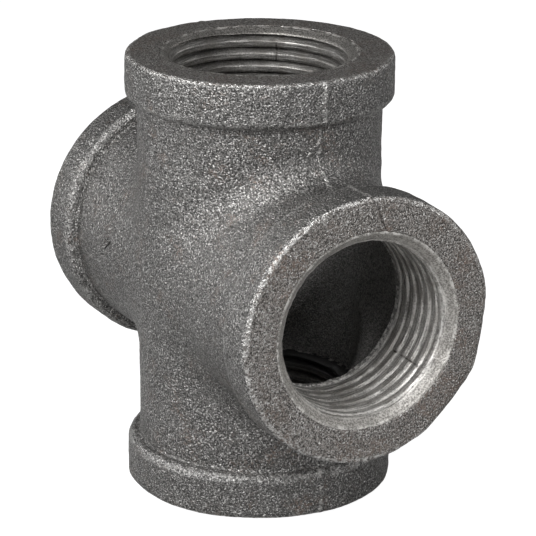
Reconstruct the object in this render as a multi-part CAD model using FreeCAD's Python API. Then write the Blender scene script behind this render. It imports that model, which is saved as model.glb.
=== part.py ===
"""Banded malleable-iron pipe cross, four equal 1 inch female pipe-thread outlets.

Row frame, millimetres: the origin is where the axes of the two straight runs meet. The vertical run lies
along Z, with the top outlet at +Z. The horizontal run lies along X, with the right outlet at +X. The
fitting is symmetric about the plane y = 0, which is also where the halves of its sand mould met.

The real fitting is one casting, so its nodes are zones of that casting: the centre body, one band round each
outlet, and one machined thread zone in each outlet. They meet face to face and don't overlap.
"""

import FreeCAD
import Part
import math
import os

# Driving dimensions
INCH = 25.4
CENTRE_TO_END = 1.50 * INCH
BAND_RADIUS = 22.8
BAND_WIDTH = 7.9
NECK_RADIUS = 20.8
CORE_RADIUS = 17.2
CROTCH_RADIUS = 6.0
FACE_EDGE_RADIUS = 0.95
THREAD_MINOR_RADIUS = 14.85
THREAD_LAND = 16.3

# Worked out from them
BAND_START = CENTRE_TO_END - BAND_WIDTH
THREAD_START = CENTRE_TO_END - THREAD_LAND
SHOULDER_RADIUS = BAND_RADIUS - NECK_RADIUS
COUNTERSINK_DEPTH = CORE_RADIUS - THREAD_MINOR_RADIUS
BEND_RADIUS = NECK_RADIUS + CROTCH_RADIUS
# The core's rounded meeting stops short of the thread zones, which need metal all round them.
CORE_HALF = THREAD_START - 0.4

ORIGIN = FreeCAD.Vector(0, 0, 0)
X = FreeCAD.Vector(1, 0, 0)
Y = FreeCAD.Vector(0, 1, 0)
Z = FreeCAD.Vector(0, 0, 1)

# Each outlet is made on +Z and turned about Y to its own arm.
OUTLET_TURNS = {"top": 0, "right": 90, "bottom": 180, "left": 270}


def rod(radius, axis, half_length):
    """A cylinder centred on the origin."""
    return Part.makeCylinder(radius, 2 * half_length, axis * -half_length, axis)


def turned(shape, degrees):
    """A copy of shape turned about the Y axis."""
    copy = shape.copy()
    copy.rotate(ORIGIN, Y, degrees)
    return copy


def elbow(radius):
    """A quarter bend of a round bar, from the Z axis to the X axis, tangent to both runs."""
    disc = Part.Face(Part.Wire(Part.makeCircle(radius, Z * BEND_RADIUS, Z)))
    corner = FreeCAD.Vector(BEND_RADIUS, 0, BEND_RADIUS)
    return disc.revolve(corner, Y, -90)


def crossing(radius, half_length):
    """Two crossing round bars whose four crotches are rounded by quarter bends of the same bar."""
    bend = elbow(radius)
    bends = [turned(bend, turn) for turn in OUTLET_TURNS.values()]
    return rod(radius, X, half_length).fuse([rod(radius, Z, half_length)] + bends)


def revolved(points_and_arcs):
    """A solid turned about Z from a closed outline of lines and arcs in the XZ half plane."""
    face = Part.Face(Part.Wire(points_and_arcs))
    return face.revolve(ORIGIN, Z, 360)


def line(start, end):
    return Part.LineSegment(FreeCAD.Vector(start[0], 0, start[1]), FreeCAD.Vector(end[0], 0, end[1])).toShape()


def quarter(centre, radius, from_degrees):
    """The quarter arc about centre that starts at an angle from +X towards +Z."""
    ends = []
    for step in (0, 45, 90):
        angle = math.radians(from_degrees + step)
        x = centre[0] + radius * math.cos(angle)
        z = centre[1] + radius * math.sin(angle)
        ends.append(FreeCAD.Vector(x, 0, z))
    return Part.Arc(ends[0], ends[1], ends[2]).toShape()


def centre_body():
    """The hub and the four necks out to the bands, hollow along both runs."""
    outside = crossing(NECK_RADIUS, BAND_START)
    middle = Part.makeBox(
        2 * CORE_HALF, 2 * CORE_HALF, 2 * CORE_HALF, FreeCAD.Vector(-CORE_HALF, -CORE_HALF, -CORE_HALF)
    )
    hub_core = crossing(CORE_RADIUS, CORE_HALF).common(middle)
    cored = outside.cut(hub_core)
    for axis in (X, Z):
        cored = cored.cut(rod(CORE_RADIUS, axis, CENTRE_TO_END))
    return cored.removeSplitter()


def band():
    """The reinforcing band of the top outlet: a rounded shoulder, a straight side and a flat end face."""
    shoulder_top = BAND_START + SHOULDER_RADIUS
    edge_start = CENTRE_TO_END - FACE_EDGE_RADIUS
    face_radius = BAND_RADIUS - FACE_EDGE_RADIUS
    outline = [
        line((CORE_RADIUS, BAND_START), (NECK_RADIUS, BAND_START)),
        quarter((NECK_RADIUS, shoulder_top), SHOULDER_RADIUS, -90),
        line((BAND_RADIUS, shoulder_top), (BAND_RADIUS, edge_start)),
        quarter((face_radius, edge_start), FACE_EDGE_RADIUS, 0),
        line((face_radius, CENTRE_TO_END), (CORE_RADIUS, CENTRE_TO_END)),
        line((CORE_RADIUS, CENTRE_TO_END), (CORE_RADIUS, BAND_START)),
    ]
    return revolved(outline)


def thread():
    """The machined zone of the top outlet, bored to the thread's minor diameter, countersunk at its mouth."""
    countersink_start = CENTRE_TO_END - COUNTERSINK_DEPTH
    corners = [
        (THREAD_MINOR_RADIUS, THREAD_START),
        (CORE_RADIUS, THREAD_START),
        (CORE_RADIUS, CENTRE_TO_END),
        (THREAD_MINOR_RADIUS, countersink_start),
    ]
    return revolved([line(a, b) for a, b in zip(corners, corners[1:] + corners[:1])])


def write(name, shape):
    """Writes one node's solid, after making sure that it is one sound solid."""
    if len(shape.Solids) != 1 or not shape.isValid():
        raise ValueError(name + " is not one valid solid")
    solid = shape.Solids[0]
    solid.exportStep("parts/" + name + ".step")
    print(name, round(solid.Volume), "mm3", len(solid.Faces), "faces")


os.makedirs("parts", exist_ok=True)
write("centre_body", centre_body())
top_band = band()
top_thread = thread()
for outlet, turn in OUTLET_TURNS.items():
    write(outlet + "_band", turned(top_band, turn))
    write(outlet + "_thread", turned(top_thread, turn))
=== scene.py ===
import math

import bmesh
import bpy
import numpy as np
from mathutils import Matrix, Vector


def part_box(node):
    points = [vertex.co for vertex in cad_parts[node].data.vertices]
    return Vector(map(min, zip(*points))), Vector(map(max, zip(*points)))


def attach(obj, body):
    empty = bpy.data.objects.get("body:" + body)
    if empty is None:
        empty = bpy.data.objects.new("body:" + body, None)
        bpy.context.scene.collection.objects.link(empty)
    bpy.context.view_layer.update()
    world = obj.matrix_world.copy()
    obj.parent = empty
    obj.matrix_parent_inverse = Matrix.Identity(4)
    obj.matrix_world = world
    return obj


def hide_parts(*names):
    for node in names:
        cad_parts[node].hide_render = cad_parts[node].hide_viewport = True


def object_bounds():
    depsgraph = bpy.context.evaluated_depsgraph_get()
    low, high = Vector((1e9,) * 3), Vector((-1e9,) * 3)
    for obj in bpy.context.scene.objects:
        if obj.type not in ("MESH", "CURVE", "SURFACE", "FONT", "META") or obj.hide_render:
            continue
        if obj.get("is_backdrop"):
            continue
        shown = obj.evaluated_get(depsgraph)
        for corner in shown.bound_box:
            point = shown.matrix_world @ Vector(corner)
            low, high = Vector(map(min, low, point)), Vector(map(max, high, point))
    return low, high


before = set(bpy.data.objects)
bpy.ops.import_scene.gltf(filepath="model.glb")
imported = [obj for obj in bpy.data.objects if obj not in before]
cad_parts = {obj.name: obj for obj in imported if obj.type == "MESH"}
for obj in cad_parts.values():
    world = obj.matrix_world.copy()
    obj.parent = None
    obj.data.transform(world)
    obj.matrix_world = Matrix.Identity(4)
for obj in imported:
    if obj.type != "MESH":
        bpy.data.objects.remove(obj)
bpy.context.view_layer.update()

# ---------------------------------------------------------------------------------------------------------
# Sizes, in millimetres. Those that the CAD has are read from its nodes, which are in metres.
# ---------------------------------------------------------------------------------------------------------
MM = 0.001
UPRIGHT = ("top", "bottom")
OUTLETS = {"top": (0, 0, 1), "right": (1, 0, 0), "bottom": (0, 0, -1), "left": (-1, 0, 0)}


def corners(node):
    """The lowest and highest corners of a CAD node, in millimetres."""
    low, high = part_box(node)
    return np.array(low) / MM, np.array(high) / MM


BAND_LOW, BAND_HIGH = corners("top_band")
THREAD_LOW, THREAD_HIGH = corners("top_thread")
END = BAND_HIGH[2]
BAND_START = BAND_LOW[2]
BAND_RADIUS = BAND_HIGH[1]
NECK_RADIUS = corners("centre_body")[1][1]
CORE_RADIUS = THREAD_HIGH[1]
THREAD_START = THREAD_LOW[2]
THREAD_DEPTH = END - THREAD_START

# The clean casting
CROTCH_RADIUS = 5.0
# How much of the crotch radius is lost towards the two broad sides
CROTCH_FLATTEN = 0.55
CORE_CROTCH_RADIUS = 5.0
# Added to a fillet's radius to keep it above zero
LEAST_RADIUS = 0.01
SHOULDER_RADIUS = 1.4
STEP_FILLET = 0.45
FACE_EDGE = 0.85
MOUTH_RADIUS = 16.65
# How fast the mouth widens with depth, so that the thread's zone hides its wall
MOUTH_FLARE = 0.6
# Flats on the right band, like those that a broken-off gate leaves: the angle below +Y, and the depth
GATE_FLATS = ((9.0, 0.28), (42.0, 0.42))
GATE_ROUNDING = 1.6
GATE_START = BAND_START - 1.0
GRID_STEP = 0.33
MARGIN = 1.2

# What the sand mould left on it. Each layer of noise has a height, a size and a shift.
LUMPS = ((0.16, 11.0, 0.0), (0.09, 5.0, 7.3), (0.05, 2.4, 3.1))
GRAIN = ((0.045, 1.1, 11.7), (0.03, 0.72, 5.9))
SEAM_BREAKS = ((0.20, 2.6, 21.0), (0.20, 0.9, 2.0))
SEAM_HEIGHT = 0.24
SEAM_HALF_WIDTH = 0.42
# The share of each that the end faces lose
LUMPS_LOST = 0.75
GRAIN_LOST = 0.35
SEAM_LOST = 0.7
# The loss starts this far below an end face, and is whole this much nearer to it
FACE_DEPTH = 0.25
FACE_BLEND = 0.2
# How far the half of the casting at +Y is shifted along +X, and the other half along -X
MOULD_SHIFT = 0.04
# The bore's skin has grain alone. It ends this far outside the core and this far short of an end face.
BORE_SKIN = 0.6
BORE_SHORT = 0.3
# Dents: middle, direction, half length, half width and depth
NICKS = (
    ((END, 2.0, 19.3), (0.0, -0.354, 0.935), 3.2, 0.34, 0.22),
    ((-17.7, -20.75, 1.3), (0.78, 0.0, 0.62), 1.9, 0.46, 0.42),
    ((-19.4, -20.8, -0.9), (0.94, 0.0, 0.342), 1.0, 0.40, 0.25),
)
DEEPEST_NICK = max(nick[4] for nick in NICKS)

# The thread: 1 inch taper pipe thread, whose diameter narrows by 1 in 16
PITCH = 25.4 / 11.5
TAPER = 1 / 32
MINOR_RADIUS = 14.85
# How deep the thread is cut below its crest, crisp in the upright outlets and worn in the level ones
CRISP_CUT = 1.15
WORN_CUT = 0.38
# One pitch of each thread form: how far along the pitch, and how deep, from 0 at the crest to 1 at the root
CRISP_FORM = (
    (0.00, 0.0), (0.12, 0.02), (0.26, 0.0), (0.38, 0.02), (0.42, 0.12), (0.45, 0.70), (0.48, 1.0),
    (0.53, 1.0), (0.60, 0.86), (0.70, 0.60), (0.80, 0.35), (0.89, 0.14), (0.96, 0.02),
)
WORN_FORM = (
    (0.00, 0.0), (0.10, 0.05), (0.22, 0.0), (0.34, 0.08), (0.43, 0.02), (0.50, 0.14), (0.58, 0.52),
    (0.66, 0.90), (0.70, 1.0), (0.75, 0.98), (0.81, 0.72), (0.89, 0.36), (0.96, 0.08),
)
# Where the thread starts, as a share of the pitch
UPRIGHT_START = 0.5
LEVEL_START = 0.0
# How fast the countersink narrows with depth
UPRIGHT_COUNTERSINK = 1.6
LEVEL_COUNTERSINK = 1.0
# Scratches along two outlets' threads: the angle about the outlet, and the depths from and to which it runs
SCRATCHES = {"top": (141.4, 2.2, 6.0), "right": (51.6, 4.0, 12.5)}
SCRATCH_DEPTH = 0.30
# Radii of the cylinders on which the noise of the torn metal and of the mouth's edge is taken
TORN_RADIUS = 15.0
EDGE_RADIUS = 17.0
# How much of the tearing a root loses
ROOT_CALM = 0.5
EDGE_WAVES = ((0.10, 1.2, 0.0), (0.12, 5.0, 4.0))
EDGE_GAP = 0.03
BURR_LEAST = 0.02
BURR_RISE = 0.10
RAGGED_END = ((0.22, 1.0, 15.0), (0.15, 3.0, 18.0))
RAGGED_SHORT = 0.2
# The zone's hidden back, inside the casting's metal
BACK_RADIUS = CORE_RADIUS + 0.55
BACK_TOP = END - 0.45
BACK_INNER = 16.9
# Points of a thread's mesh nearer than this are one, and edges shorter than this are dissolved
WELD_DISTANCE = 0.004
SLIVER_LENGTH = 0.002


# ---------------------------------------------------------------------------------------------------------
# Noise on points, the same on every run
# ---------------------------------------------------------------------------------------------------------
TABLE_SIDE = 64
TABLE = np.random.default_rng(20).uniform(-1.0, 1.0, (TABLE_SIDE,) * 3).astype(np.float32)


def noise(points, size, shift):
    """Smooth noise from -1 to 1 with features about size across."""
    place = points / size + shift
    whole = np.floor(place).astype(np.int64)
    part = place - whole
    part = part * part * (3.0 - 2.0 * part)
    low = whole % TABLE_SIDE
    high = (whole + 1) % TABLE_SIDE
    total = 0.0
    for i in (0, 1):
        x = high[:, 0] if i else low[:, 0]
        wx = part[:, 0] if i else 1.0 - part[:, 0]
        for j in (0, 1):
            y = high[:, 1] if j else low[:, 1]
            wy = part[:, 1] if j else 1.0 - part[:, 1]
            for k in (0, 1):
                z = high[:, 2] if k else low[:, 2]
                wz = part[:, 2] if k else 1.0 - part[:, 2]
                total = total + TABLE[x, y, z] * wx * wy * wz
    return total


def layers(points, parts, start=0.0):
    """start plus several layers of noise, each with its height, size and shift."""
    total = start
    for height, size, shift in parts:
        total = total + height * noise(points, size, shift)
    return total


# ---------------------------------------------------------------------------------------------------------
# The casting, as a distance field
# ---------------------------------------------------------------------------------------------------------
def join(a, b, radius):
    """Two solids together, with a round fillet where their surfaces meet square."""
    u = np.maximum(radius - a, 0.0)
    v = np.maximum(radius - b, 0.0)
    return np.maximum(radius, np.minimum(a, b)) - np.sqrt(u * u + v * v)


def common(a, b, radius):
    """What two solids share, with the edge between their surfaces rounded."""
    return -join(-a, -b, radius)


def arm(along, off):
    """One straight run with its two bands, from the distances along and off its axis."""
    reach = np.abs(along)
    ring = common(off - BAND_RADIUS, BAND_START - reach, SHOULDER_RADIUS)
    whole = join(off - NECK_RADIUS, ring, STEP_FILLET)
    return common(whole, reach - END, FACE_EDGE)


def gate_flats(x, y, z, level):
    """The level run with the flats cut on its right band."""
    for angle, depth in GATE_FLATS:
        turn = math.radians(angle)
        flat = math.cos(turn) * y - math.sin(turn) * z - (BAND_RADIUS - depth)
        level = np.where(x > GATE_START, common(level, flat, GATE_ROUNDING), level)
    return level


def broadside(y, off_x, off_z):
    """How squarely a point lies to a broad side of both runs, from 0 to 1."""
    return np.clip((y / np.maximum(off_x, 1.0)) * (y / np.maximum(off_z, 1.0)), 0.0, 1.0)


def hollow(x, y, z, off_x, off_z):
    """The waterway: two crossing bores, each a little narrower at its mouths."""
    meeting = CORE_CROTCH_RADIUS * (1.0 - broadside(y, off_x, off_z)) + LEAST_RADIUS
    bores = join(off_x - CORE_RADIUS, off_z - CORE_RADIUS, meeting)
    mouth_x = off_x - (MOUTH_RADIUS + MOUTH_FLARE * np.maximum(END - np.abs(x), 0.0))
    mouth_z = off_z - (MOUTH_RADIUS + MOUTH_FLARE * np.maximum(END - np.abs(z), 0.0))
    lip_x = np.where(np.abs(x) > np.abs(z), mouth_x, -1.0)
    lip_z = np.where(np.abs(z) > np.abs(x), mouth_z, -1.0)
    return np.maximum(bores, np.maximum(lip_x, lip_z))


def casting(x, y, z):
    """Distance to the clean casting, negative inside the metal."""
    off_x = np.sqrt(y * y + z * z)
    off_z = np.sqrt(x * x + y * y)
    crotch = CROTCH_RADIUS * (1.0 - CROTCH_FLATTEN * broadside(y, off_x, off_z))
    level = gate_flats(x, y, z, arm(x, off_x))
    outside = join(level, arm(z, off_z), crotch)
    return np.maximum(outside, -hollow(x, y, z, off_x, off_z))


def casting_at(points):
    """casting for an array of points."""
    return casting(points[:, 0], points[:, 1], points[:, 2])


def slope(field, points, reach=0.02):
    """Unit directions in which the field grows fastest."""
    out = np.empty_like(points)
    for axis in range(3):
        step = np.zeros(3)
        step[axis] = reach
        out[:, axis] = field(points + step) - field(points - step)
    return out / np.maximum(np.linalg.norm(out, axis=1), 1e-9)[:, None]


def surface_nets(field, low, step):
    """The zero surface of a sampled field: a vertex in each crossed cell, a quad on each crossed edge."""
    inside = field < 0
    cells = tuple(n - 1 for n in field.shape)
    number = np.zeros(cells, np.uint8)
    for i in (0, 1):
        for j in (0, 1):
            for k in (0, 1):
                number += inside[i : i + cells[0], j : j + cells[1], k : k + cells[2]]
    crossed = (number > 0) & (number < 8)
    index = np.full(cells, -1, np.int64)
    index[crossed] = np.arange(int(crossed.sum()))
    total = np.zeros((int(crossed.sum()), 3))
    count = np.zeros(int(crossed.sum()))
    quads = []
    for axis in range(3):
        change = inside.take(range(cells[axis]), axis) != inside.take(range(1, cells[axis] + 1), axis)
        at = np.argwhere(change)
        ahead = at.copy()
        ahead[:, axis] += 1
        f0 = field[at[:, 0], at[:, 1], at[:, 2]]
        f1 = field[ahead[:, 0], ahead[:, 1], ahead[:, 2]]
        where = at.astype(float)
        where[:, axis] += f0 / (f0 - f1)
        u, v = (axis + 1) % 3, (axis + 2) % 3
        around = []
        for du, dv in ((0, 0), (-1, 0), (-1, -1), (0, -1)):
            cell = at.copy()
            cell[:, u] += du
            cell[:, v] += dv
            around.append(index[cell[:, 0], cell[:, 1], cell[:, 2]])
        around = np.stack(around, 1)
        for k in range(4):
            np.add.at(total, around[:, k], where)
            np.add.at(count, around[:, k], 1.0)
        outward = f0 < 0
        quads.append(np.where(outward[:, None], around, around[:, ::-1]))
    return low + total / count[:, None] * step, np.concatenate(quads)


def settle(field, points, rounds=2):
    """Points moved onto the field's zero surface."""
    for _ in range(rounds):
        points = points - slope(field, points) * field(points)[:, None]
    return points


def relax(points, quads, share=0.5):
    """Points moved part of the way to the middle of their neighbours."""
    total = np.zeros_like(points)
    count = np.zeros(len(points))
    for k in range(4):
        a, b = quads[:, k], quads[:, (k + 1) % 4]
        for axis in range(3):
            total[:, axis] += np.bincount(a, points[b, axis], len(points))
            total[:, axis] += np.bincount(b, points[a, axis], len(points))
        count += np.bincount(a, minlength=len(points)) + np.bincount(b, minlength=len(points))
    return points + (total / count[:, None] - points) * share


def clean_casting():
    """Vertices and quads of the clean casting."""
    half_long = END + MARGIN
    half_thin = BAND_RADIUS + MARGIN
    long_line = np.arange(-half_long, half_long + GRID_STEP, GRID_STEP)
    thin_line = np.arange(-half_thin, half_thin + GRID_STEP, GRID_STEP)
    x, y, z = np.meshgrid(long_line, thin_line, long_line, indexing="ij", sparse=True)
    field = casting(x, y, z).astype(np.float32)
    low = np.array([long_line[0], thin_line[0], long_line[0]])
    points, quads = surface_nets(field, low, GRID_STEP)
    points = settle(casting_at, points)
    for _ in range(2):
        points = settle(casting_at, relax(points, quads), 1)
    return points, quads


def mould_marks(points, reach, in_bore):
    """How far each point stands off the clean casting: lumps, grain, the parting line and the dents."""
    on_face = np.clip((reach - END + FACE_DEPTH) / FACE_BLEND, 0.0, 1.0)
    lumps = layers(points, LUMPS)
    grain = layers(points, GRAIN)
    skin = lumps * (1.0 - LUMPS_LOST * on_face) + grain * (1.0 - GRAIN_LOST * on_face)
    push = np.where(in_bore, grain, skin)
    seam_height = np.maximum(layers(points, SEAM_BREAKS, SEAM_HEIGHT), 0.0)
    seam = seam_height * np.exp(-((points[:, 1] / SEAM_HALF_WIDTH) ** 2))
    push = push + np.where(in_bore, 0.0, seam * (1.0 - SEAM_LOST * on_face))
    for centre, along, length, width, depth in NICKS:
        apart = points - np.array(centre)
        run = apart @ np.array(along)
        aside = np.linalg.norm(apart - run[:, None] * np.array(along), axis=1)
        push = push - depth * np.exp(-((aside / width) ** 2) - (run / length) ** 4)
    return push


def casting_mesh():
    """Vertices and quads of the finished casting."""
    points, quads = clean_casting()
    normal = slope(casting_at, points)
    off_x = np.hypot(points[:, 1], points[:, 2])
    off_z = np.hypot(points[:, 0], points[:, 1])
    reach = np.maximum(np.abs(points[:, 0]), np.abs(points[:, 2]))
    in_bore = (np.minimum(off_x, off_z) < CORE_RADIUS + BORE_SKIN) & (reach < END - BORE_SHORT)
    side = np.sign(points[:, 1])
    points = points + normal * mould_marks(points, reach, in_bore)[:, None]
    points[:, 0] += np.where(in_bore, 0.0, MOULD_SHIFT * side)
    return points, quads


# ---------------------------------------------------------------------------------------------------------
# The threads
# ---------------------------------------------------------------------------------------------------------
AROUND = 384
ANGLES = np.arange(AROUND) / AROUND * 2.0 * math.pi
RING = np.stack([np.cos(ANGLES), np.sin(ANGLES)], 1)


def ring_at(radius, height):
    """A ring of points about +Z."""
    return np.stack([RING[:, 0] * radius, RING[:, 1] * radius, np.full(AROUND, height)], 1)


def thread_style(name):
    """An outlet's thread form, its depth of cut, its start and the slope of its countersink."""
    if name in UPRIGHT:
        return CRISP_FORM, CRISP_CUT, UPRIGHT_START, UPRIGHT_COUNTERSINK
    return WORN_FORM, WORN_CUT, LEVEL_START, LEVEL_COUNTERSINK


def helix(name, seed):
    """Depth and radius of each row of a right-hand helix about +Z, from outside the mouth to the end."""
    form, cut_depth, start, _ = thread_style(name)
    depths = []
    radii = []
    for turn in range(-2, int(THREAD_DEPTH / PITCH) + 3):
        for share, deep in form:
            depth = (turn + share + start - ANGLES / (2.0 * math.pi)) * PITCH
            spots = ring_at(TORN_RADIUS, depth.mean())
            torn = layers(spots, ((0.05, 1.3, seed), (0.04, 4.0, seed + 9.0)))
            radius = MINOR_RADIUS + cut_depth * deep - TAPER * depth
            radius = radius + torn * (1.0 - ROOT_CALM * deep)
            if name in SCRATCHES:
                angle, first, last = SCRATCHES[name]
                column = round(angle / 360.0 * AROUND)
                scratched = (depth[column] > first) & (depth[column] < last)
                radius[column] += SCRATCH_DEPTH * scratched
            depths.append(depth)
            radii.append(radius)
    return np.stack(depths), np.stack(radii)


def thread_rows(name, seed):
    """Height and radius of each row of one threaded zone about +Z: countersink, thread and ragged end."""
    depth, radius = helix(name, seed)
    spots = ring_at(EDGE_RADIUS, seed * 10.0)
    edge = layers(spots, EDGE_WAVES, MOUTH_RADIUS - EDGE_GAP)
    burr = BURR_LEAST + BURR_RISE * np.maximum(noise(spots, 0.8, 8.0), 0.0)
    ragged = layers(spots, RAGGED_END, THREAD_DEPTH) - RAGGED_SHORT
    if name in UPRIGHT:
        ragged = np.full(AROUND, THREAD_DEPTH)
    countersink = thread_style(name)[3]
    radius = np.maximum(radius, edge[None, :] - countersink * depth)
    at_mouth = depth <= 0.0
    at_end = depth >= ragged[None, :]
    radius = np.where(at_mouth, edge[None, :], radius)
    height = END - np.clip(depth, 0.0, ragged[None, :])
    height = np.where(at_mouth, END + burr[None, :], height)
    end_row = radius[np.argmax(at_end, axis=0), np.arange(AROUND)]
    radius = np.where(at_end, end_row[None, :], radius)
    return height, radius


def thread_faces(rows, pitch_rows):
    """Quads between the rows and round the back. A row that comes round meets the one a pitch before it."""
    here = np.arange(AROUND)
    beside = (here + 1) % AROUND
    faces = []
    for row in range(rows - 1):
        corner = row * AROUND + here
        met = row - np.where(beside == 0, pitch_rows, 0)
        upper = np.clip(met, 0, rows - 1) * AROUND + beside
        lower = np.clip(met + 1, 0, rows - 1) * AROUND + beside
        faces.append(np.stack([corner, corner + AROUND, lower, upper], 1))
    back = rows * AROUND
    starts = (0, back, back + AROUND, back + 2 * AROUND, (rows - 1) * AROUND)
    for upper, lower in zip(starts[:-1], starts[1:]):
        faces.append(np.stack([upper + here, upper + beside, lower + beside, lower + here], 1))
    return np.concatenate(faces)


def turning(direction):
    """The rotation about Y that takes +Z to an outlet's direction."""
    angle = math.atan2(direction[0], direction[2])
    c, s = math.cos(angle), math.sin(angle)
    return np.array([[c, 0, s], [0, 1, 0], [-s, 0, c]])


def scratch_line(name):
    """The middle of an outlet's scratch, the direction across it and half its length."""
    degrees, start, stop = SCRATCHES[name]
    angle = math.radians(degrees)
    turn = turning(OUTLETS[name])
    height = END - (start + stop) / 2.0
    centre = turn @ np.array([MINOR_RADIUS * math.cos(angle), MINOR_RADIUS * math.sin(angle), height])
    return centre, turn @ np.array([-math.sin(angle), math.cos(angle), 0.0]), (stop - start) / 2.0


# ---------------------------------------------------------------------------------------------------------
# Mesh objects
# ---------------------------------------------------------------------------------------------------------
def linked(name, data):
    """A new object in the scene."""
    new = bpy.data.objects.new(name, data)
    bpy.context.scene.collection.objects.link(new)
    return new


def build_thread(name, direction, seed):
    """One outlet's threaded zone."""
    height, radius = thread_rows(name, seed)
    verts = np.empty((len(height), AROUND, 3))
    verts[:, :, 0] = RING[None, :, 0] * radius
    verts[:, :, 1] = RING[None, :, 1] * radius
    verts[:, :, 2] = height
    corners_behind = ((BACK_RADIUS, BACK_TOP), (BACK_RADIUS, THREAD_START), (BACK_INNER, THREAD_START))
    behind = [ring_at(corner_radius, corner_height) for corner_radius, corner_height in corners_behind]
    verts = np.concatenate([verts.reshape(-1, 3)] + behind)
    faces = thread_faces(len(height), len(thread_style(name)[0]))
    mesh = bpy.data.meshes.new(name + "_cut_thread")
    spots = verts @ turning(direction).T * MM
    mesh.from_pydata(spots.tolist(), [], faces.tolist())
    edited = bmesh.new()
    edited.from_mesh(mesh)
    bmesh.ops.remove_doubles(edited, verts=edited.verts, dist=WELD_DISTANCE * MM)
    bmesh.ops.dissolve_degenerate(edited, dist=SLIVER_LENGTH * MM, edges=edited.edges)
    bmesh.ops.recalc_face_normals(edited, faces=edited.faces)
    edited.to_mesh(mesh)
    edited.free()
    mesh.shade_smooth()
    return linked(name + "_cut_thread", mesh)


def mesh_object(name, points, quads):
    """A smooth-shaded mesh object from points in millimetres."""
    mesh = bpy.data.meshes.new(name)
    mesh.vertices.add(len(points))
    mesh.vertices.foreach_set("co", (points * MM).astype(np.float32).ravel())
    mesh.loops.add(len(quads) * 4)
    mesh.loops.foreach_set("vertex_index", quads.astype(np.int32).ravel())
    mesh.polygons.add(len(quads))
    mesh.polygons.foreach_set("loop_start", np.arange(0, len(quads) * 4, 4, dtype=np.int32))
    mesh.update(calc_edges=True)
    mesh.validate()
    mesh.shade_smooth()
    return linked(name, mesh)


# ---------------------------------------------------------------------------------------------------------
# Materials
# ---------------------------------------------------------------------------------------------------------
IRON_DARK = (0.06, 0.059, 0.057)
IRON_LIGHT = (0.235, 0.229, 0.221)
IRON_PATCH = (0.12, 0.118, 0.114)
FACE_DARK = (0.075, 0.070, 0.065)
FACE_LIGHT = (0.39, 0.364, 0.342)
FACE_CLOUD = (0.21, 0.17, 0.145)
GLINT = (0.56, 0.55, 0.535)
SEAM_FLECK = (0.60, 0.59, 0.57)
RUST = (0.23, 0.155, 0.115)
WORN_RIM = (0.72, 0.71, 0.69)
SCUFF = (0.66, 0.65, 0.63)
DENT_PAINTED_SHADE = (0.015, 0.0145, 0.014)
BORE_DARK = (0.11, 0.108, 0.104)
BORE_LIGHT = (0.30, 0.29, 0.278)
CUT_DARK = (0.19, 0.184, 0.174)
CUT_LIGHT = (0.73, 0.71, 0.68)
SMEAR = (0.25, 0.232, 0.212)
SINK_DARK = (0.20, 0.19, 0.176)
ZONE_PAINTED_SHADE = (0.05, 0.048, 0.045)
BURR = (0.90, 0.88, 0.85)
CREST_BURR_AND_HIGHLIGHT = (0.88, 0.86, 0.83)
LIP = (0.74, 0.72, 0.69)
SCRATCH_SHADE = (0.05, 0.044, 0.038)
# Features per millimetre along a machined zone's axis and across it, which draws rings
RING_ALONG = 4.2
RING_ACROSS = 0.22
SCRATCH_HALF_WIDTH = 0.20


def opaque(colour):
    """A colour of three numbers with its alpha added; a socket stays as it is."""
    return colour + (1.0,) if isinstance(colour, tuple) else colour


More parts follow.
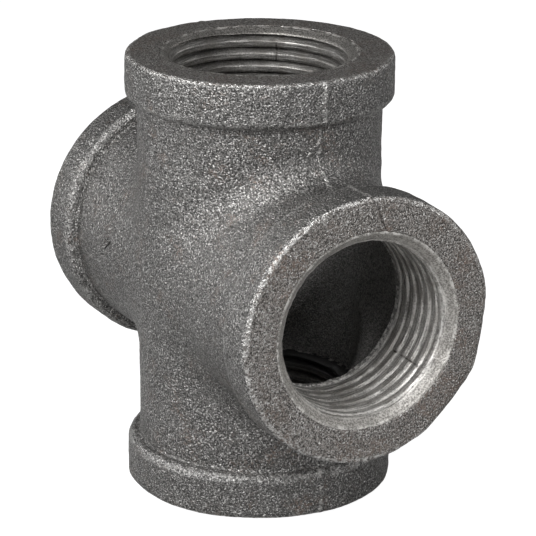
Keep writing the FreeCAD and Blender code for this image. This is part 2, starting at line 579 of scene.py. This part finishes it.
class Nodes:
    """Short ways to add and link the nodes of one material."""

    def __init__(self, name):
        self.material = bpy.data.materials.new(name)
        self.material.use_nodes = True
        self.tree = self.material.node_tree
        self.tree.nodes.clear()
        self.out = self.tree.nodes.new("ShaderNodeOutputMaterial")
        self.shader = self.tree.nodes.new("ShaderNodeBsdfPrincipled")
        self.tree.links.new(self.shader.outputs[0], self.out.inputs[0])
        self.place = self.tree.nodes.new("ShaderNodeTexCoord").outputs["Object"]

    def link(self, value, socket):
        """Sets a socket to a number or colour, or links another socket to it."""
        if isinstance(value, (int, float, tuple)):
            socket.default_value = value
        else:
            self.tree.links.new(value, socket)

    def scaled(self, per_mm):
        """Object coordinates times a number of features per millimetre on each axis."""
        node = self.tree.nodes.new("ShaderNodeMapping")
        self.link(self.place, node.inputs["Vector"])
        node.inputs["Scale"].default_value = [v / MM for v in per_mm]
        return node.outputs[0]

    def noise(self, per_mm, detail=2.0, rough=0.5, stretch=(1.0, 1.0, 1.0), warp=0.0):
        """Noise from 0 to 1 with a number of features per millimetre."""
        node = self.tree.nodes.new("ShaderNodeTexNoise")
        self.link(self.scaled([per_mm * s for s in stretch]), node.inputs["Vector"])
        node.inputs["Scale"].default_value = 1.0
        node.inputs["Detail"].default_value = detail
        node.inputs["Roughness"].default_value = rough
        node.inputs["Distortion"].default_value = warp
        return node.outputs["Fac"]

    def cells(self, per_mm, smooth):
        """Distance to the nearest of many scattered points."""
        node = self.tree.nodes.new("ShaderNodeTexVoronoi")
        node.feature = "SMOOTH_F1"
        self.link(self.scaled((per_mm,) * 3), node.inputs["Vector"])
        node.inputs["Scale"].default_value = 1.0
        node.inputs["Smoothness"].default_value = smooth
        return node.outputs["Distance"]

    def math(self, how, a, b=0.0):
        """One arithmetic step on one or two values."""
        node = self.tree.nodes.new("ShaderNodeMath")
        node.operation = how
        self.link(a, node.inputs[0])
        self.link(b, node.inputs[1])
        return node.outputs[0]

    def times(self, a, b):
        return self.math("MULTIPLY", a, b)

    def vector(self, how, a, b=None):
        """A vector node's outputs; a is a socket and b is three numbers."""
        node = self.tree.nodes.new("ShaderNodeVectorMath")
        node.operation = how
        self.link(a, node.inputs[0])
        if b is not None:
            node.inputs[1].default_value = list(b)
        return node.outputs

    def ramp(self, value, low, high, to_low=0.0, to_high=1.0):
        """value from low to high becomes to_low to to_high, smoothly, and stays there outside."""
        node = self.tree.nodes.new("ShaderNodeMapRange")
        node.interpolation_type = "SMOOTHSTEP"
        self.link(value, node.inputs["Value"])
        node.inputs["From Min"].default_value = low
        node.inputs["From Max"].default_value = high
        node.inputs["To Min"].default_value = to_low
        node.inputs["To Max"].default_value = to_high
        return node.outputs["Result"]

    def edge(self, value, low, high, to_low=0.0, to_high=1.0):
        """ramp for a distance in metres, with low and high in millimetres."""
        return self.ramp(value, low * MM, high * MM, to_low, to_high)

    def mix(self, amount, a, b):
        """Colour a where amount is 0 and b where it is 1."""
        node = self.tree.nodes.new("ShaderNodeMix")
        node.data_type = "RGBA"
        self.link(amount, node.inputs["Factor"])
        self.link(opaque(a), node.inputs["A"])
        self.link(opaque(b), node.inputs["B"])
        return node.outputs["Result"]

    def split(self, vector):
        """The X, Y and Z of a vector."""
        node = self.tree.nodes.new("ShaderNodeSeparateXYZ")
        self.link(vector, node.inputs[0])
        return node.outputs

    def crack(self, centre, across, half_length, half_width):
        """1 on a straight line about centre; across is the direction square to it, and sizes are in mm."""
        apart = self.vector("SUBTRACT", self.place, [v * MM for v in centre])["Vector"]
        far = self.vector("LENGTH", apart)["Value"]
        aside = self.vector("DOT_PRODUCT", apart, across)["Value"]
        thin = self.edge(self.math("ABSOLUTE", aside), half_width, 0.4 * half_width)
        return self.times(thin, self.edge(far, half_length, 0.7 * half_length))

    def bump(self, height, millimetres, under=None):
        """A normal lifted by height times a number of millimetres, on top of another bump."""
        node = self.tree.nodes.new("ShaderNodeBump")
        node.inputs["Strength"].default_value = 1.0
        node.inputs["Distance"].default_value = millimetres * MM
        self.link(height, node.inputs["Height"])
        if under is not None:
            self.link(under, node.inputs["Normal"])
        return node.outputs[0]


def off_axis(n, a, b):
    """Distance from an axis in metres, from the two coordinates square to it."""
    return n.math("SQRT", n.math("ADD", n.times(a, a), n.times(b, b)))


def arm_masks(n):
    """Reach along the nearer arm's axis, distance off that axis, and the least distance off either axis."""
    x, y, z = n.split(n.place)
    off_x, off_z = off_axis(n, y, z), off_axis(n, x, y)
    far_x, far_z = n.math("ABSOLUTE", x), n.math("ABSOLUTE", z)
    level = n.math("GREATER_THAN", far_x, far_z)
    off_arm = n.math("ADD", n.times(level, off_x), n.times(n.math("SUBTRACT", 1.0, level), off_z))
    return n.math("MAXIMUM", far_x, far_z), off_arm, n.math("MINIMUM", off_x, off_z)


def cast_skin():
    """Black-annealed sand-cast iron: sparkling grain, worn edges and traces of rust, dull in the bores."""
    n = Nodes("cast_skin")
    reach, off_arm, off_nearer = arm_masks(n)
    inside = n.times(n.edge(off_nearer, CORE_RADIUS + 1.2, CORE_RADIUS + 0.6),
                     n.edge(reach, END - 0.35, END - 0.9))
    on_face = n.edge(reach, END - 0.45, END - 0.15)
    off_face = n.math("SUBTRACT", 1.0, on_face)
    fine = n.noise(3.7, 2.0, 0.62)
    grit = n.noise(1.9, 3.0, 0.62)
    coarse = n.noise(0.7, 2.0, 0.55)
    broad = n.noise(0.10, 3.0, 0.5)
    tone = n.math("ADD", n.times(fine, 0.72), n.times(grit, 0.28))

    # The grain, with duller patches
    iron = n.mix(n.ramp(tone, 0.42, 0.57), IRON_DARK, IRON_LIGHT)
    iron = n.mix(n.ramp(broad, 0.40, 0.66, 0.0, 0.35), iron, IRON_PATCH)

    # The end faces, paler and browner
    faced = n.mix(n.ramp(tone, 0.42, 0.58), FACE_DARK, FACE_LIGHT)
    clouds = n.ramp(n.noise(0.20, 3.0, 0.6, warp=0.5), 0.44, 0.62)
    faced = n.mix(n.times(clouds, n.ramp(grit, 0.40, 0.60, 0.1, 0.6)), faced, FACE_CLOUD)
    iron = n.mix(n.times(on_face, 0.85), iron, faced)

    # Glints, bright flecks along the parting line, and rust
    glint = n.ramp(n.noise(3.3, 1.0, 0.5, warp=0.4), 0.57, 0.65)
    iron = n.mix(glint, iron, GLINT)
    near_seam = n.edge(n.math("ABSOLUTE", n.split(n.place)[1]), 0.50, 0.15)
    flecks = n.times(near_seam, n.ramp(n.noise(1.1, 3.0, 0.7), 0.47, 0.56, 0.0, 0.8))
    iron = n.mix(n.times(flecks, off_face), iron, SEAM_FLECK)
    rust = n.times(n.ramp(n.noise(0.20, 4.0, 0.65), 0.50, 0.72), n.ramp(grit, 0.46, 0.60))
    iron = n.mix(n.times(rust, 0.5), iron, RUST)

    # Wear on the rim of each end face and on each band's shoulder
    rim = n.times(n.edge(off_arm, BAND_RADIUS - 1.0, BAND_RADIUS - 0.65),
                  n.edge(reach, END - 0.55, END - 0.30))
    worn = n.times(rim, n.ramp(n.noise(1.3, 3.0, 0.65), 0.44, 0.58, 0.0, 0.75))
    iron = n.mix(worn, iron, WORN_RIM)
    shoulder = n.times(n.edge(reach, BAND_START - 0.1, BAND_START + 0.1),
                       n.edge(reach, BAND_START + 1.7, BAND_START + 1.0))
    scuffed = n.times(shoulder, n.ramp(n.noise(1.5, 3.0, 0.65), 0.45, 0.57, 0.0, 0.34))
    iron = n.mix(scuffed, iron, SCUFF)

    # Painted shade in the bottoms of the dents, darker in the deeper ones
    for centre, along, length, width, depth in NICKS:
        outward = slope(casting_at, np.array([centre]))[0]
        line = n.crack(centre, np.cross(along, outward), length, 0.6 * width)
        iron = n.mix(n.times(line, depth / DEEPEST_NICK), iron, DENT_PAINTED_SHADE)

    bore = n.mix(n.ramp(tone, 0.42, 0.60), BORE_DARK, BORE_LIGHT)
    n.link(n.mix(inside, iron, bore), n.shader.inputs["Base Color"])
    n.link(n.math("SUBTRACT", 0.85, n.times(inside, 0.6)), n.shader.inputs["Metallic"])
    rough = n.ramp(tone, 0.38, 0.62, 0.46, 0.28)
    rough = n.math("SUBTRACT", rough, n.times(worn, 0.10))
    n.link(n.math("ADD", rough, n.times(inside, 0.2)), n.shader.inputs["Roughness"])
    lift = n.bump(n.cells(3.0, 0.2), -0.15)
    lift = n.bump(fine, 0.15, lift)
    lift = n.bump(grit, 0.14, lift)
    lift = n.bump(coarse, 0.14, lift)
    n.link(lift, n.shader.inputs["Normal"])
    return n.material


def machined(name, axis, burrs, shade, deep_shade_and_sheen):
    """Bare cut iron with rings about one axis, left by the tap and the countersink.

    The three numbers after axis go from 0 to 1: bright torn metal at the deep end and a bright first crest,
    partly burrs and partly a painted highlight; painted shade over the whole zone; and deeper painted shade
    at the deep end and on its end wall, with a brighter, more metallic countersink.
    """
    n = Nodes(name)
    reach, off_arm = arm_masks(n)[:2]
    rings = n.noise(1.0, 3.0, 0.6, tuple(RING_ALONG if k == axis else RING_ACROSS for k in range(3)))
    fine = n.noise(3.6, 2.0, 0.6)
    grit = n.noise(1.4, 3.0, 0.6)
    smear = n.noise(0.28, 3.0, 0.55)
    tone = n.math("ADD", n.times(rings, 0.68), n.times(fine, 0.32))
    metal = n.mix(n.ramp(tone, 0.38, 0.62), CUT_DARK, CUT_LIGHT)
    metal = n.mix(n.ramp(smear, 0.46, 0.66, 0.0, 0.55), metal, SMEAR)

    # The rougher countersink, then painted shade over everything so far
    sunk = n.edge(n.math("ADD", reach, n.times(grit, 0.6 * MM)), END - 1.3, END - 0.5)
    bright = 0.47 + 0.23 * deep_shade_and_sheen
    rough_cut = n.mix(n.ramp(fine, 0.40, 0.60), SINK_DARK, (bright, 0.96 * bright, 0.90 * bright))
    metal = n.mix(n.times(sunk, 0.8), metal, rough_cut)
    metal = n.mix(shade, metal, ZONE_PAINTED_SHADE)

    # The deep end and the wall that shuts it darkened with painted shade, and the deep end's torn last
    # thread
    deep = n.edge(n.math("ADD", reach, n.times(smear, 2.0 * MM)),
                  THREAD_START + 4.2, THREAD_START + 1.8, 0.0, 0.35 + 0.63 * deep_shade_and_sheen)
    metal = n.mix(deep, metal, (0.10 - 0.02 * deep_shade_and_sheen,) * 3)
    torn = n.times(n.edge(reach, THREAD_START + 1.5, THREAD_START + 0.9),
                   n.ramp(grit, 0.44, 0.56, 0.0, burrs))
    metal = n.mix(torn, metal, BURR)
    end_wall = n.edge(off_arm, MINOR_RADIUS - 0.25, MINOR_RADIUS - 0.05)
    wall_shade = n.times(end_wall, n.edge(reach, THREAD_START + 0.8, THREAD_START + 0.4))
    metal = n.mix(wall_shade, metal, (0.24 - 0.15 * deep_shade_and_sheen,) * 3)

    # A bright first crest, partly burrs and partly a painted highlight, and bright burrs along the mouth's
    # edge
    first = n.times(n.edge(off_arm, MINOR_RADIUS + 0.35, MINOR_RADIUS + 0.10),
                    n.edge(reach, END - 2.7, END - 2.2))
    metal = n.mix(n.times(first, n.ramp(grit, 0.42, 0.56, 0.0, 0.6 * burrs)), metal, CREST_BURR_AND_HIGHLIGHT)
    lip = n.times(n.edge(off_arm, MOUTH_RADIUS - 0.40, MOUTH_RADIUS - 0.15),
                  n.ramp(n.noise(0.5, 3.0, 0.7), 0.48, 0.58, 0.0, 0.8))
    metal = n.mix(lip, metal, LIP)

    for outlet in SCRATCHES:
        if OUTLETS[outlet][axis]:
            centre, across, half_length = scratch_line(outlet)
            line = n.crack(centre, across, half_length, SCRATCH_HALF_WIDTH)
            metal = n.mix(n.times(line, n.ramp(grit, 0.40, 0.56, 1.0, 0.35)), metal, SCRATCH_SHADE)

    n.link(metal, n.shader.inputs["Base Color"])
    n.shader.inputs["Metallic"].default_value = 0.60 + 0.28 * deep_shade_and_sheen
    n.link(n.ramp(tone, 0.35, 0.65, 0.55, 0.36), n.shader.inputs["Roughness"])
    lift = n.bump(rings, 0.04)
    lift = n.bump(fine, 0.06, lift)
    lift = n.bump(grit, 0.10, lift)
    n.link(lift, n.shader.inputs["Normal"])
    return n.material


# ---------------------------------------------------------------------------------------------------------
# The pieces
# ---------------------------------------------------------------------------------------------------------
skin = mesh_object("casting", *casting_mesh())
skin.data.materials.append(cast_skin())
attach(skin, "root")
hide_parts("centre_body", *(name + "_band" for name in OUTLETS))

# The upright outlets' copy takes painted shade over its whole zone and deeper painted shade at its deep end
upright = machined("machined_upright", axis=2, burrs=0.0, shade=0.47, deep_shade_and_sheen=1.0)
level = machined("machined_level", axis=0, burrs=1.0, shade=0.0, deep_shade_and_sheen=0.0)
for seed, (name, direction) in enumerate(OUTLETS.items()):
    cut = build_thread(name, direction, seed + 1.5)
    cut.data.materials.append(level if direction[0] else upright)
    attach(cut, "root")
    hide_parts(name + "_thread")


# ---------------------------------------------------------------------------------------------------------
# The studio
# ---------------------------------------------------------------------------------------------------------
CAMERA_AZIMUTH = 62.03
CAMERA_ELEVATION = 19.0
CAMERA_ROLL = 0.26
CAMERA_DISTANCE = 0.5
CAMERA_LENS = 194.4
AIM_RIGHT = 0.00147
AIM_UP = -0.00072
# The floor as other light meets it, and its glow and grey as the camera sees it
FLOOR_HALF = 8.0
FLOOR_GREY = 0.40
FLOOR_GLOW = 0.94
FLOOR_SEEN_GREY = 0.3
# The room's brightness behind and in front. Its front faces ROOM_AZIMUTH, and a direction counts as behind
# or in front by its dot product with that one.
ROOM_AZIMUTH = CAMERA_AZIMUTH - 25.0
ROOM_BEHIND = 0.10
ROOM_IN_FRONT = 0.22
BEHIND_BELOW = -0.6
IN_FRONT_ABOVE = 0.9
# name, brightness, width and distance in metres, azimuth and elevation in degrees
SOFT_BOXES = (
    ("key", 2.85, 0.17, 0.32, CAMERA_AZIMUTH - 42.0, 43.0),
    ("over", 1.1, 0.12, 0.40, CAMERA_AZIMUTH + 25.0, 37.0),
    ("front", 0.40, 0.30, 0.50, CAMERA_AZIMUTH - 45.0, 3.0),
    ("low", 0.35, 0.12, 0.25, CAMERA_AZIMUTH + 48.0, 4.0),
    ("right", 0.5, 0.30, 0.60, CAMERA_AZIMUTH + 115.0, 20.0),
    ("left", 0.95, 0.30, 0.60, CAMERA_AZIMUTH - 105.0, 14.0),
)


def grey(value):
    """A grey with full alpha."""
    return (value, value, value, 1.0)


def pale_floor():
    """A floor that looks lit from within, like a light table, but throws little light back on the part."""
    n = Nodes("pale_floor")
    n.shader.inputs["Base Color"].default_value = grey(FLOOR_GREY)
    n.shader.inputs["Roughness"].default_value = 0.9
    glow = n.tree.nodes.new("ShaderNodeEmission")
    glow.inputs["Strength"].default_value = FLOOR_GLOW
    pale = n.tree.nodes.new("ShaderNodeBsdfDiffuse")
    pale.inputs["Color"].default_value = grey(FLOOR_SEEN_GREY)
    table = n.tree.nodes.new("ShaderNodeAddShader")
    seen = n.tree.nodes.new("ShaderNodeLightPath")
    both = n.tree.nodes.new("ShaderNodeMixShader")
    n.tree.links.new(glow.outputs[0], table.inputs[0])
    n.tree.links.new(pale.outputs[0], table.inputs[1])
    n.tree.links.new(seen.outputs["Is Camera Ray"], both.inputs[0])
    n.tree.links.new(n.shader.outputs[0], both.inputs[1])
    n.tree.links.new(table.outputs[0], both.inputs[2])
    n.tree.links.new(both.outputs[0], n.out.inputs[0])
    return n.material


def floor():
    """The floor, level with the lowest point of the part."""
    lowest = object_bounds()[0][2]
    side = FLOOR_HALF
    edited = bmesh.new()
    for x, y in ((-side, -side), (side, -side), (side, side), (-side, side)):
        edited.verts.new((x, y, lowest))
    edited.faces.new(edited.verts)
    mesh = bpy.data.meshes.new("floor")
    edited.to_mesh(mesh)
    edited.free()
    mesh.materials.append(pale_floor())
    linked("floor", mesh)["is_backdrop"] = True


def direction_from(azimuth, elevation):
    """The unit direction from the part toward an azimuth and elevation, in degrees; 0, 0 is -Y."""
    round_z, above = math.radians(azimuth), math.radians(elevation)
    level_part = math.cos(above)
    return Vector((math.sin(round_z) * level_part, -math.cos(round_z) * level_part, math.sin(above)))


def soft_box(name, brightness, width, distance, azimuth, elevation):
    """A square soft box aimed at the part; brightness is the light it lays on the part, in W/m2."""
    data = bpy.data.lights.new(name, "AREA")
    data.energy = brightness * math.pi * distance**2
    data.size = width
    box = linked(name, data)
    back = direction_from(azimuth, elevation)
    box.location = back * distance
    box.rotation_mode = "QUATERNION"
    box.rotation_quaternion = back.to_track_quat("Z", "Y")
    box.visible_camera = False


def studio_light():
    """A dim pale room, brighter in front of the part than behind it, and soft boxes all round."""
    world = bpy.data.worlds.new("studio")
    bpy.context.scene.world = world
    world.use_nodes = True
    tree = world.node_tree
    tree.nodes.clear()
    front = tree.nodes.new("ShaderNodeVectorMath")
    front.operation = "DOT_PRODUCT"
    front.inputs[1].default_value = direction_from(ROOM_AZIMUTH, 0.0)
    spread = tree.nodes.new("ShaderNodeMapRange")
    spread.inputs["From Min"].default_value = BEHIND_BELOW
    spread.inputs["From Max"].default_value = IN_FRONT_ABOVE
    spread.inputs["To Min"].default_value = ROOM_BEHIND
    spread.inputs["To Max"].default_value = ROOM_IN_FRONT
    room = tree.nodes.new("ShaderNodeBackground")
    room.inputs["Color"].default_value = grey(1.0)
    backdrop = tree.nodes.new("ShaderNodeBackground")
    backdrop.inputs["Color"].default_value = grey(1.0)
    backdrop.inputs["Strength"].default_value = 1.0
    seen = tree.nodes.new("ShaderNodeLightPath")
    both = tree.nodes.new("ShaderNodeMixShader")
    out = tree.nodes.new("ShaderNodeOutputWorld")
    tree.links.new(tree.nodes.new("ShaderNodeTexCoord").outputs["Generated"], front.inputs[0])
    tree.links.new(front.outputs["Value"], spread.inputs["Value"])
    tree.links.new(spread.outputs["Result"], room.inputs["Strength"])
    tree.links.new(seen.outputs["Is Camera Ray"], both.inputs[0])
    tree.links.new(room.outputs[0], both.inputs[1])
    tree.links.new(backdrop.outputs[0], both.inputs[2])
    tree.links.new(both.outputs[0], out.inputs[0])
    for box in SOFT_BOXES:
        soft_box(*box)


def camera():
    """The camera, aimed near the origin and turned a little about its own axis."""
    azimuth, roll = math.radians(CAMERA_AZIMUTH), math.radians(CAMERA_ROLL)
    back = direction_from(CAMERA_AZIMUTH, CAMERA_ELEVATION)
    level_right = Vector((math.cos(azimuth), math.sin(azimuth), 0.0))
    level_up = back.cross(level_right)
    right = level_right * math.cos(roll) + level_up * math.sin(roll)
    up = level_up * math.cos(roll) - level_right * math.sin(roll)
    place = back * CAMERA_DISTANCE + right * AIM_RIGHT + up * AIM_UP
    data = bpy.data.cameras.new("camera")
    data.sensor_width = 36.0
    data.lens = CAMERA_LENS
    data.clip_start = 0.02
    data.clip_end = 20.0
    turn = Matrix((right, up, back)).transposed().to_4x4()
    eye = linked("camera", data)
    eye.matrix_world = Matrix.Translation(place) @ turn
    bpy.context.scene.camera = eye


floor()
studio_light()
camera()
bpy.context.scene.view_settings.view_transform = "Standard"
